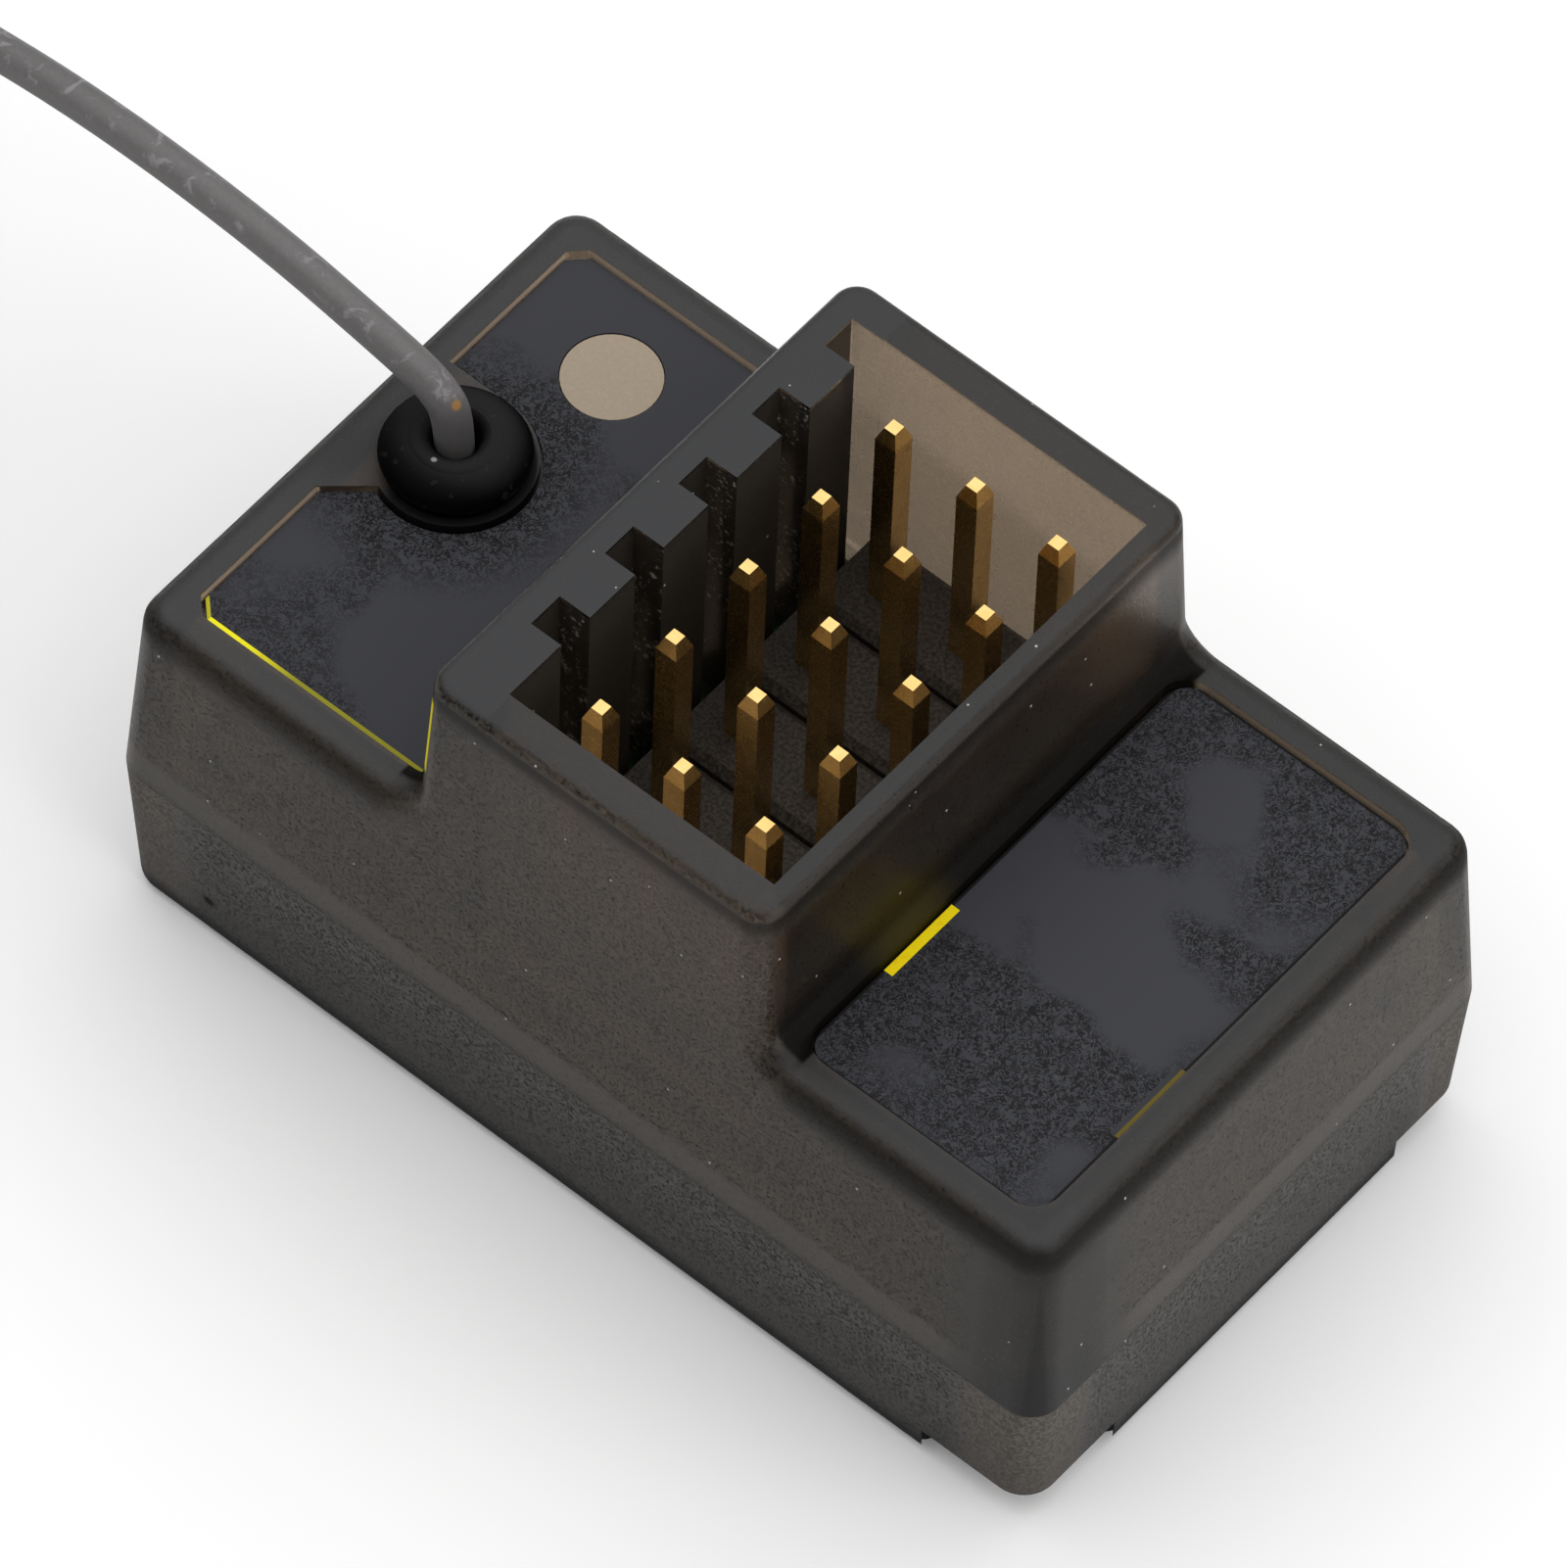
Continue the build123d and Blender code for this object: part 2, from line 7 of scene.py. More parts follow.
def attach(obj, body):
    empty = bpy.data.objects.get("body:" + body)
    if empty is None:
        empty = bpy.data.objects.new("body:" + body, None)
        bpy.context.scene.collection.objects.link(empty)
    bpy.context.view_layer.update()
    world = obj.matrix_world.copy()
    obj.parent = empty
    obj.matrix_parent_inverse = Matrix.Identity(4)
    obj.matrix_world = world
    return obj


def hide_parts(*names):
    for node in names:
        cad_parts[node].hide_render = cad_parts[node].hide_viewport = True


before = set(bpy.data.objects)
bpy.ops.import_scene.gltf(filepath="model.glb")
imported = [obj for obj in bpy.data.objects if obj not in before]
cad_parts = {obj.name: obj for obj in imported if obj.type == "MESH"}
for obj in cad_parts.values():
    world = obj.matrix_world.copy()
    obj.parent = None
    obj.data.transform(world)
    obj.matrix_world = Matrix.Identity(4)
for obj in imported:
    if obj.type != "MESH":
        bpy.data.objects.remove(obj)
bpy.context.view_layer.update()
MM = 0.001


def extent(node_name):
    """The lowest and the highest corner of a CAD piece, in millimetres."""
    places = [vertex.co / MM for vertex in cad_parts[node_name].data.vertices]
    low = Vector([min(place[axis] for place in places) for axis in range(3)])
    high = Vector([max(place[axis] for place in places) for axis in range(3)])
    return low, high


# Places on the receiver, in millimetres
housing_low, housing_high = extent("upper_shell")
HALF_LENGTH = housing_high.x
HALF_WIDTH = housing_high.y
SEAM_Z = housing_low.z
TOWER_TOP_Z = housing_high.z
label_low, label_high = extent("outer_label")
LABEL_MIDDLE_X = (label_low.x + label_high.x) / 2
LABEL_HALF_LENGTH = (label_high.x - label_low.x) / 2
LABEL_END_X = label_high.x
LABEL_SIDE_Y = label_high.y
POCKET_FLOOR_Z = label_low.z
LABEL_TOP_Z = label_high.z
POCKET_GAP = 0.08
LABEL_SINK = 0.2
POCKET_END_X = LABEL_END_X + POCKET_GAP
POCKET_SIDE_Y = LABEL_SIDE_Y + POCKET_GAP
DECK_Z = LABEL_TOP_Z + LABEL_SINK
TOWER_END_X = 5.9
HOLLOW_SIDE_Y = 6.855
KEY_FLOOR_X = -4.44
RIB_TIP_X = -3.5
grommet_low, grommet_high = extent("antenna_grommet")
GROMMET_X = (grommet_low.x + grommet_high.x) / 2
GROMMET_Y = (grommet_low.y + grommet_high.y) / 2

# Middles of marks that the photograph shows, in millimetres
TRAY_SPOT = (-11.6, -8.31, 1.6)
# The middle of the yellow band's painted reflection on the tower's foot
BAND_REFLECTION = (5.85, -2.95, 12.2)
# The grommet's middle, round which painted shadow lies on the housing and dark smears on the label
GROMMET_SHADOW_AND_GRIME = (GROMMET_X, GROMMET_Y - 0.25, LABEL_TOP_Z)
GROMMET_PALE_DOT = (-11.22, -0.56, 12.36)
CABLE_STAIN = (-11.28, 0.3, 13.65)


# Shader expressions


class Wire:
    """A socket whose arithmetic adds Math nodes."""

    def __init__(self, shader, socket):
        self.shader = shader
        self.socket = socket

    def _math(self, operation, *values):
        return self.shader.node("ShaderNodeMath", {"operation": operation}, *values)

    def __add__(self, other):
        return self._math("ADD", self, other)

    def __sub__(self, other):
        return self._math("SUBTRACT", self, other)

    def __mul__(self, other):
        return self._math("MULTIPLY", self, other)

    def __radd__(self, other):
        return self._math("ADD", other, self)

    def __rsub__(self, other):
        return self._math("SUBTRACT", other, self)

    def __rmul__(self, other):
        return self._math("MULTIPLY", other, self)

    def above(self, edge, soft):
        """0 below the edge and 1 above it, over a soft band."""
        return self.shader.node(
            "ShaderNodeMapRange",
            {"interpolation_type": "SMOOTHSTEP"},
            Value=self,
            **{"From Min": edge - soft / 2, "From Max": edge + soft / 2},
        )

    def below(self, edge, soft):
        return 1 - self.above(edge, soft)

    def within(self, low, high, soft):
        return self.above(low, soft) * self.below(high, soft)

    def apart(self):
        """The distance from zero."""
        return self._math("ABSOLUTE", self)

    def most(self, other):
        return self._math("MAXIMUM", self, other)


class Finish:
    """One material, with the nodes that its look needs."""

    def __init__(self, name):
        self.material = bpy.data.materials.new(name)
        self.material.use_nodes = True
        self.tree = self.material.node_tree
        self.surface = self.tree.nodes["Principled BSDF"]
        # The point on the piece, in the row frame, in metres
        self.place = self.node("ShaderNodeTexCoord", output="Object")
        self._axes = {}

    def node(self, kind, settings=None, *values, output=None, **named):
        """Adds a node with these settings and inputs, and gives the named output or the first."""
        node = self.tree.nodes.new(kind)
        for key, value in (settings or {}).items():
            setattr(node, key, value)
        inputs = [socket for socket in node.inputs if socket.enabled]
        outputs = [socket for socket in node.outputs if socket.enabled]
        for socket, value in zip(inputs, values):
            self._feed(socket, value)
        for key, value in named.items():
            self._feed(node.inputs[key], value)
        return Wire(self, node.outputs[output] if output else outputs[0])

    def _feed(self, socket, value):
        if isinstance(value, Wire):
            self.tree.links.new(value.socket, socket)
        else:
            if socket.type == "RGBA" and len(value) == 3:
                value = (*value, 1)
            socket.default_value = value

    def axis(self, letter):
        """How far along an axis of the piece the surface lies, in millimetres."""
        if letter not in self._axes:
            metres = self.node("ShaderNodeSeparateXYZ", {}, self.place, output=letter)
            self._axes[letter] = metres * (1 / MM)
        return self._axes[letter]

    def facing(self, letter):
        """The normal's part along an axis of the piece."""
        normal = self.node("ShaderNodeNewGeometry", output="Normal")
        return self.node("ShaderNodeSeparateXYZ", {}, normal, output=letter)

    def distance(self, point):
        """How far the surface lies from a point of the piece, in millimetres."""
        target = tuple(MM * value for value in point)
        metres = self.node(
            "ShaderNodeVectorMath", {"operation": "DISTANCE"}, self.place, target
        )
        return metres * (1 / MM)

    def dust(self):
        """Sparse round specks, about one in ten square millimetres."""
        return self.cells(0.9).below(0.04, 0.012)

    def noise(self, size, detail=3, rough=0.5, distortion=0.0):
        """A cloudy pattern whose blotches are about this many millimetres across."""
        return self.node(
            "ShaderNodeTexNoise",
            Vector=self.place,
            Scale=1 / (size * MM),
            Detail=detail,
            Roughness=rough,
            Distortion=distortion,
        )

    def cells(self, size, randomness=1.0):
        """The distance from the middle of cells about this many millimetres apart, in cells."""
        return self.node(
            "ShaderNodeTexVoronoi",
            Vector=self.place,
            Scale=1 / (size * MM),
            Randomness=randomness,
        )

    def blend(self, factor, first, second):
        """Goes from the first colour to the second."""
        return self.node("ShaderNodeMix", {"data_type": "RGBA"}, factor, first, second)

    def bump(self, height, strength, distance):
        """A surface raised where the height is greater, by up to this many millimetres."""
        return self.node(
            "ShaderNodeBump", Height=height, Strength=strength, Distance=distance * MM
        )

    def set(self, **sockets):
        """Sets sockets of the surface, whose names have low lines for spaces here."""
        for key, value in sockets.items():
            self._feed(self.surface.inputs[key.replace("_", " ")], value)

    def back_with(self, share, colour):
        """Lets an opaque, dull body of this colour show through the surface, by the share given."""
        dull = {"Base Color": colour, "Roughness": 0.7, "Specular IOR Level": 0.1}
        body = self.node("ShaderNodeBsdfPrincipled", **dull)
        clear = Wire(self, self.surface.outputs[0])
        mixed = self.node("ShaderNodeMixShader", {}, share, clear, body)
        self.tree.links.new(mixed.socket, self.tree.nodes["Material Output"].inputs["Surface"])


# Finishes


def smoked_plastic(name, clear, cloudy):
    """Smoked see-through plastic with a frosted skin. Also gives its fine grain and its tint."""
    finish = Finish(name)
    grain = finish.noise(0.1, 2, 0.7)
    tint = finish.blend(finish.noise(2.4, 3), clear, cloudy)
    finish.set(
        Base_Color=tint,
        Roughness=0.22 + grain * 0.16,
        Transmission_Weight=1.0,
        IOR=1.38,
        Normal=finish.bump(grain, 0.6, 0.02),
    )
    return finish, grain.above(0.5, 0.2), tint


def housing_faces(finish):
    """The front and back faces, and all four outer faces."""
    side = finish.axis("Y").apart().above(HALF_WIDTH - 1.0, 0.2)
    end = finish.axis("X").apart().above(HALF_LENGTH - 1.1, 0.2)
    return side, side.most(end)


def rim_crease_shade(finish, side, outer):
    """Painted shade in bands under the decks' rims and under the tower's rim."""
    along, up = finish.axis("X"), finish.axis("Z")
    tower = along.apart().below(TOWER_END_X, 1.2)
    tower_end = along.apart().within(TOWER_END_X - 0.95, TOWER_END_X + 0.4, 0.1)
    deck_crease_shade = up.above(DECK_Z - 1.15, 1.2) * up.below(DECK_Z - 0.15, 0.24) * outer * (1 - tower)
    deck_crease_shade = deck_crease_shade * (0.76 + 0.14 * along.above(5, 12))
    tower_crease_shade = up.above(TOWER_TOP_Z - 0.95, 1.0) * up.below(TOWER_TOP_Z - 0.28, 0.16)
    return deck_crease_shade, tower_crease_shade * side.most(tower_end) * tower


def tower_foot_shade(finish, side):
    """Painted shade at the foot of the tower's end walls, darker still at its lowest part, and the
    band's painted reflection there.
    """
    along, up = finish.axis("X").apart(), finish.axis("Z")
    end = along.above(TOWER_END_X - 0.6, 0.8) * along.below(TOWER_END_X + 0.4, 0.1)
    foot = up.below(DECK_Z + 2.2, 4.4) * end * up.above(DECK_Z - 0.4, 0.2) * (1 - side * 0.6)
    lowest = up.below(DECK_Z + 1.2, 1.2) * foot * (1 - side)
    band_reflection = finish.distance(BAND_REFLECTION).below(1.3, 1.6) * end
    return foot, lowest, band_reflection


def front_corner(finish, outer):
    """The dark right front corner, and the darker edge in it."""
    along, across = finish.axis("X"), finish.axis("Y")
    corner = along.above(HALF_LENGTH - 2.5, 2.6) * across.below(3.1 - HALF_WIDTH, 2.6) * outer
    edge = along.above(HALF_LENGTH - 0.7, 0.6) * across.below(0.7 - HALF_WIDTH, 0.5)
    return corner, edge


def hollow_walls(finish):
    """The walls of the key slots, and the hollow's end walls, which let light through."""
    along, across, up = finish.axis("X"), finish.axis("Y").apart(), finish.axis("Z")
    lit_end = across.within(HOLLOW_SIDE_Y - 0.055, HOLLOW_SIDE_Y + 0.345, 0.05)
    lit_end = lit_end * along.apart().below(5, 0.1) * up.below(TOWER_TOP_Z - 0.06, 0.04)
    lit_end = lit_end * finish.facing("Z").below(0.4, 0.2)
    slots = along.within(KEY_FLOOR_X - 0.26, RIB_TIP_X + 0.08, 0.04)
    slots = slots * across.below(HOLLOW_SIDE_Y - 0.015, 0.02) * up.below(TOWER_TOP_Z - 0.1, 0.1)
    return slots * (1 - lit_end), lit_end


def lit_pocket_walls(finish):
    """The walls of the two label pockets, where pale light through the plastic is painted."""
    along, across = finish.axis("X").apart(), finish.axis("Y").apart()
    end = along.within(POCKET_END_X - 0.07, POCKET_END_X + 0.13, 0.04)
    side = across.within(POCKET_SIDE_Y - 0.07, POCKET_SIDE_Y + 0.09, 0.04)
    inside = along.below(POCKET_END_X + 0.13, 0.04) * across.below(POCKET_SIDE_Y + 0.09, 0.04)
    height = finish.axis("Z").within(POCKET_FLOOR_Z + 0.02, DECK_Z - 0.04, 0.04)
    return end.most(side) * inside * height


def upward_faces(finish):
    """The rims of decks and tower, and among them the tops of the ribs."""
    along, up = finish.axis("X"), finish.axis("Z")
    rim = finish.facing("Z").above(0.8, 0.3) * up.above(DECK_Z - 0.2, 0.1)
    ribs = up.above(TOWER_TOP_Z - 0.7, 0.2) * along.within(-5.2, RIB_TIP_X + 0.1, 0.2)
    return rim, rim * ribs


def yellow_reflection(finish):
    """The thin yellow line on the tower's left front corner, a painted reflection of the yellow print.
    """
    round_corner = finish.facing("X").below(-0.55, 0.1) * finish.facing("Y").below(-0.4, 0.1)
    height = finish.axis("Z").within(DECK_Z + 1.7, TOWER_TOP_Z - 0.8, 0.2)
    return round_corner * height * finish.axis("X").within(-5.6, -4.8, 0.1)


def slot_chalk(finish, slots):
    """Clumps of chalky specks on the slot walls that face the front."""
    specks = finish.noise(0.16, 3, 0.7).above(0.6, 0.08)
    clumps = finish.noise(1.1, 2).above(0.46, 0.12)
    return specks * slots * finish.facing("Y").below(-0.5, 0.2) * clumps


def housing_plastic():
    """The housing, with painted shade under its rims and at the tower's foot."""
    finish, grain, tint = smoked_plastic("housing_plastic", (0.36, 0.27, 0.19), (0.43, 0.325, 0.23))
    along, across, up = finish.axis("X"), finish.axis("Y"), finish.axis("Z")
    side, outer = housing_faces(finish)
    deck_crease_shade, tower_crease_shade = rim_crease_shade(finish, side, outer)
    foot, lowest, band_reflection = tower_foot_shade(finish, side)
    crease_and_foot_shade = deck_crease_shade.most(tower_crease_shade).most(foot)
    corner, edge = front_corner(finish, outer)
    slots, lit_end = hollow_walls(finish)
    rim, rib_tops = upward_faces(finish)
    lip_line = up.within(SEAM_Z + 0.15, SEAM_Z + 1.05, 0.35) * outer * (1 - corner)
    left_deck = along.below(0.2 - TOWER_END_X, 0.4)
    rim_colour = finish.blend(left_deck, (0.056, 0.057, 0.058), (0.076, 0.077, 0.079))
    # Painted light on the pocket walls, brighter on the left deck
    lit_pocket_colour = finish.blend(left_deck, (0.36, 0.28, 0.21), (0.72, 0.56, 0.42))
    lit_colour = finish.blend(grain, (0.3, 0.22, 0.15), (0.85, 0.62, 0.44))
    # Painted shadow round the grommet's flange
    grommet_shadow = finish.distance(GROMMET_SHADOW_AND_GRIME).below(2.2, 0.2) * along.above(GROMMET_X - 0.9, 1.2)
    thin_back = across.above(HALF_WIDTH - 1.0, 0.2) * up.above(DECK_Z + 1.1, 1.0)
    dust = finish.dust()
    specks = (slot_chalk(finish, slots) * 0.8).most(dust)
    share = outer * (0.5 - thin_back * 0.14)
    share = share.most(deck_crease_shade).most(tower_crease_shade * 0.78).most(foot * 0.94).most(dust * 0.9)
    body = finish.blend(grain, (0.004, 0.0032, 0.0026), (0.098, 0.083, 0.068))
    # Each place with the opacity that it has at least, and with its colour
    places = (
        (corner, 0.7, (0.038, 0.037, 0.036)),
        (edge, 0.88, (0.024, 0.024, 0.024)),
        (rim, 0.55, rim_colour),
        (rib_tops, 0.9, (0.055, 0.056, 0.058)),
        (lip_line * 0.8, 0, (0.13, 0.115, 0.1)),
        # Painted shade under the rims and at the tower's foot
        (crease_and_foot_shade, 0, (0.011, 0.01, 0.009)),
        # The darkest painted shade, at the lowest part of the tower's foot
        (lowest, 0, (0.0022, 0.0016, 0.001)),
        # Painted reflection of the yellow band
        (band_reflection, 0, (0.036, 0.027, 0.002)),
        (slots, 0.86, (0.03, 0.026, 0.021)),
        # Painted light on the pocket walls
        (lit_pocket_walls(finish), 0.9, lit_pocket_colour),
        (lit_end, 0.14, lit_colour),
        # Painted reflection of the yellow print
        (yellow_reflection(finish), 0.9, (0.78, 0.66, 0.01)),
        (specks, 0, (0.5, 0.5, 0.48)),
        # Painted shadow round the grommet
        (grommet_shadow, 0.95, (0.005, 0.005, 0.005)),
    )
    for place, opacity, colour in places:
        body = finish.blend(place, body, colour)
        if opacity:
            share = share.most(place * opacity)
    finish.set(Base_Color=finish.blend(lit_end, tint, (0.98, 0.8, 0.61)))
    finish.back_with(share, body)
    return finish.material


def tray_plastic():
    """The tray is darker and less clear than the housing, most of all near its floor."""
    finish, grain, _ = smoked_plastic("tray_plastic", (0.18, 0.15, 0.12), (0.23, 0.195, 0.155))
    along, across, up = finish.axis("X").apart(), finish.axis("Y").apart(), finish.axis("Z")
    low = up.below(2.4, 4.4)
    corner = along.above(HALF_LENGTH - 2.4, 1.2) * across.above(HALF_WIDTH - 2.2, 1.2)
    spot = finish.distance(TRAY_SPOT).below(0.2, 0.2)
    body = finish.blend(grain, (0.01, 0.009, 0.008), (0.11, 0.103, 0.095))
    body = finish.blend(low * 0.6, body, (0.022, 0.022, 0.022))
    body = finish.blend(corner * 0.4, body, (0.15, 0.132, 0.116))
    body = finish.blend(up.below(0.75, 0.7), body, (0.018, 0.018, 0.018))
    body = finish.blend(spot, body, (0.004, 0.004, 0.004))
    share = 0.75 + 0.25 * up.below(0.8, 0.8)
    finish.back_with(share.most(spot).most(corner), body)
    return finish.material


def outer_label_edge(finish):
    """The outer label's edge where it drops into its pocket: its own dark edge and painted shadow, in
    black.
    """
    along, across = finish.axis("X"), finish.axis("Y").apart()
    from_middle = (along - LABEL_MIDDLE_X).apart()
    end = from_middle.within(LABEL_HALF_LENGTH - 0.067, LABEL_HALF_LENGTH + 0.383, 0.04)
    side = across.above(LABEL_SIDE_Y - 0.063, 0.04) * along.above(0, 1)
    return end.most(side)


def antenna_label_marks(finish, crease):
    """Creases round the grommet, and the yellow line on the label's cut corner."""
    along, across = finish.axis("X"), finish.axis("Y")
    near = finish.distance(GROMMET_SHADOW_AND_GRIME).below(3.3, 1.8) * crease * along.below(0, 1)
    line = (along + across).below(0.587 - LABEL_END_X - LABEL_SIDE_Y, 0.04)
    return near, line * across.below(0, 1)


def label_film(name, flat_share, crease_strength):
    """Slate label film: flat patches between patches of fine leathery creases."""
    finish = Finish(name)
    fine = finish.noise(0.13, 4, 0.68, 0.8)
    coarse = finish.noise(0.34, 3, 0.6, 1.2)
    worms = finish.noise(0.2, 2, 0.6, 1.6)
    rough = 1 - finish.noise(4.2, 2, 0.45).above(flat_share, 0.1)
    crease = (worms - 0.5).apart().below(0.065, 0.03) * coarse.above(0.4, 0.14)
    speck = fine.above(0.62, 0.06) * rough * crease_strength
    near, line = antenna_label_marks(finish, crease)
    dark = outer_label_edge(finish).most(near)
    slate = (0.042, 0.043, 0.051)
    colour = finish.blend(crease * rough * crease_strength, slate, (0.003, 0.003, 0.003))
    colour = finish.blend(speck * 0.5, colour, (0.09, 0.088, 0.085))
    colour = finish.blend(dark, colour, (0.003, 0.003, 0.003))
    colour = finish.blend(line, colour, (0.5, 0.46, 0.02))
    finish.set(
        Base_Color=colour,
        Roughness=0.66,
        Specular_IOR_Level=0.2,
        Normal=finish.bump(fine * rough, 0.6, 0.03),
    )
    return finish.material


def yellow_print(name, print_colour, worn_colour):
    """Dull yellow print, worn in small patches. Also gives its colour."""
    finish = Finish(name)
    wear = finish.noise(0.35, 3, 0.6).above(0.62, 0.12)
    colour = finish.blend(wear * 0.4, print_colour, worn_colour)
    finish.set(Roughness=0.55, Specular_IOR_Level=0.1)
    return finish, colour


def band_yellow():
    """The band's outer end has lost its print but for a dull line at its edge."""
    finish, colour = yellow_print("band_yellow", (0.97, 0.75, 0.006), (0.85, 0.55, 0.006))
    along = finish.axis("X")
    left_over = along.above(LABEL_END_X - 0.114, 0.03)
    bare = finish.blend(left_over, (0.042, 0.043, 0.048), (0.14, 0.105, 0.02))
    finish.set(Base_Color=finish.blend(along.above(10, 1), colour, bare))
    return finish.material


def edge_yellow():
    """The yellow edge grows thinner, and so duller, toward the tower."""
    finish, colour = yellow_print("edge_yellow", (0.95, 0.88, 0.02), (0.8, 0.62, 0.02))
    dull = finish.axis("X").above(-10.8, 2)
    finish.set(Base_Color=finish.blend(dull, colour, (0.3, 0.28, 0.02)))
    return finish.material


def frosted_window():
    finish = Finish("frosted_window")
    grain = finish.noise(0.1, 2, 0.6)
    colour = finish.blend(grain, (0.31, 0.245, 0.175), (0.41, 0.325, 0.23))
    finish.set(Base_Color=colour, Roughness=0.5, Normal=finish.bump(grain, 0.3, 0.02))
    return finish.material


def black_rubber():
    """Dull rubber with painted light on top and painted shade on its front, with faint dust and one
    pale dot.
    """
    finish = Finish("black_rubber")
    grain = finish.noise(0.16, 4, 0.6)
    dust = finish.noise(0.3, 2, 0.5).above(0.68, 0.05)
    pale_dot = finish.distance(GROMMET_PALE_DOT).below(0.07, 0.05)
    # Painted shade on the front and painted light on top
    front = finish.facing("Y").below(-0.3, 0.6)
    painted_top_light = finish.facing("Z").above(0.76, 0.6) * (1 - front * 0.7)
    colour = finish.blend(painted_top_light, (0.0004, 0.0004, 0.0004), (0.022, 0.022, 0.023))
    colour = finish.blend(dust * 0.2, colour, (0.05, 0.05, 0.05))
    colour = finish.blend(pale_dot, colour, (0.32, 0.32, 0.32))
    finish.set(
        Base_Color=colour,
        Roughness=0.7 + grain * 0.2,
        Specular_IOR_Level=0.04,
        Normal=finish.bump(grain, 0.25, 0.03),
    )
    return finish.material


def cable_sheath():
    """Soft grey sheath with pale scuffs along its upper side and one orange stain."""
    finish = Finish("cable_sheath")
    grain = finish.noise(0.12, 3, 0.6)
    scuffs = finish.noise(0.55, 5, 0.65, 0.8)
    rubbed = scuffs.above(0.60, 0.1) * finish.facing("Z").above(0.45, 0.5)
    stain = finish.distance(CABLE_STAIN).below(0.13, 0.1)
    colour = finish.blend(grain, (0.105, 0.101, 0.1), (0.15, 0.145, 0.143))
    colour = finish.blend(rubbed * 0.75, colour, (0.27, 0.255, 0.26))
    colour = finish.blend(stain, colour, (0.38, 0.2, 0.06))
    finish.set(Base_Color=colour, Roughness=0.5, Normal=finish.bump(scuffs, 0.3, 0.04))
    return finish.material


def gold_plate():
    finish = Finish("gold_plate")
    tarnish = finish.noise(0.5, 4, 0.6)
    brushed = finish.noise(0.08, 2, 0.5)
    colour = finish.blend(tarnish, (0.86, 0.62, 0.27), (0.66, 0.42, 0.13))
    finish.set(
        Base_Color=colour,
        Metallic=1.0,
        Roughness=0.2 + brushed * 0.12,
        Normal=finish.bump(brushed, 0.04, 0.01),
    )
    return finish.material


def moulded_black():
    finish = Finish("moulded_black")
    grain = finish.noise(0.1, 3, 0.6)
    colour = finish.blend(grain.above(0.5, 0.3), (0.018, 0.015, 0.013), (0.058, 0.05, 0.043))
    finish.set(
        Base_Color=colour,
        Roughness=0.6,
        Specular_IOR_Level=0.25,
        Normal=finish.bump(grain, 0.25, 0.02),
    )
    return finish.material


def board_green():
    finish = Finish("board_green")
    weave = finish.cells(0.5, 0.2)
    colour = finish.blend(weave, (0.012, 0.05, 0.024), (0.02, 0.075, 0.035))
    finish.set(Base_Color=colour, Roughness=0.35)
    return finish.material


def bright_metal(name, light, dark, rough):
    finish = Finish(name)
    cloud = finish.noise(0.4, 3, 0.6)
    finish.set(
        Base_Color=finish.blend(cloud, dark, light),
        Metallic=1.0,
        Roughness=rough + cloud * 0.15,
    )
    return finish.material


def fired_ceramic():
    finish = Finish("fired_ceramic")
    cloud = finish.noise(0.3, 3, 0.6)
    finish.set(Base_Color=finish.blend(cloud, (0.42, 0.3, 0.18), (0.52, 0.4, 0.26)), Roughness=0.45)
    return finish.material


def clear_lens():
    finish = Finish("clear_lens")
    cloud = finish.noise(0.3, 2, 0.5)
    finish.set(Base_Color=finish.blend(cloud, (0.7, 0.66, 0.5), (0.8, 0.76, 0.6)), Roughness=0.25)
    return finish.material


def studio_floor():
    """Pale paper that keeps the shadow and looks white to the camera, to glass and to metal."""
    finish = Finish("studio_floor")
    cloud = finish.noise(40, 2, 0.4)
    paper = finish.blend(cloud, (0.93, 0.93, 0.93), (0.95, 0.95, 0.95))
    camera, glossy, through = (
        finish.node("ShaderNodeLightPath", output=ray)
        for ray in ("Is Camera Ray", "Is Glossy Ray", "Is Transmission Ray")
    )
    seen = camera + glossy + through
    finish.set(
        Base_Color=paper,
        Roughness=0.9,
        Emission_Color=finish.blend(seen, (0, 0, 0), (0.08, 0.08, 0.08)),
        Emission_Strength=1.0,
    )
    return finish.material


HOUSING = housing_plastic()
TRAY = tray_plastic()
OUTER_FILM = label_film("outer_label_film", 0.52, 0.9)
ANTENNA_FILM = label_film("antenna_label_film", 0.42, 0.7)
BAND_YELLOW = band_yellow()
EDGE_YELLOW = edge_yellow()
WINDOW = frosted_window()
RUBBER = black_rubber()
SHEATH = cable_sheath()
GOLD = gold_plate()
BLACK = moulded_black()
GREEN = board_green()
SOLDER = bright_metal("solder_metal", (0.75, 0.75, 0.73), (0.5, 0.5, 0.49), 0.3)
CAN = bright_metal("crystal_metal", (0.8, 0.78, 0.72), (0.6, 0.58, 0.53), 0.28)
CERAMIC = fired_ceramic()
LENS = clear_lens()


# Pieces
SHARP_ANGLE = math.radians(32)
# The ring inside the grommet's mouth, in millimetres
LIP_RADIUS = 0.98
LIP_THICKNESS = 0.92
LIP_Z = grommet_high.z - 0.45


def dress(piece, material):
    """Gives a piece this one material."""
    piece.data.materials.clear()
    piece.data.materials.append(material)


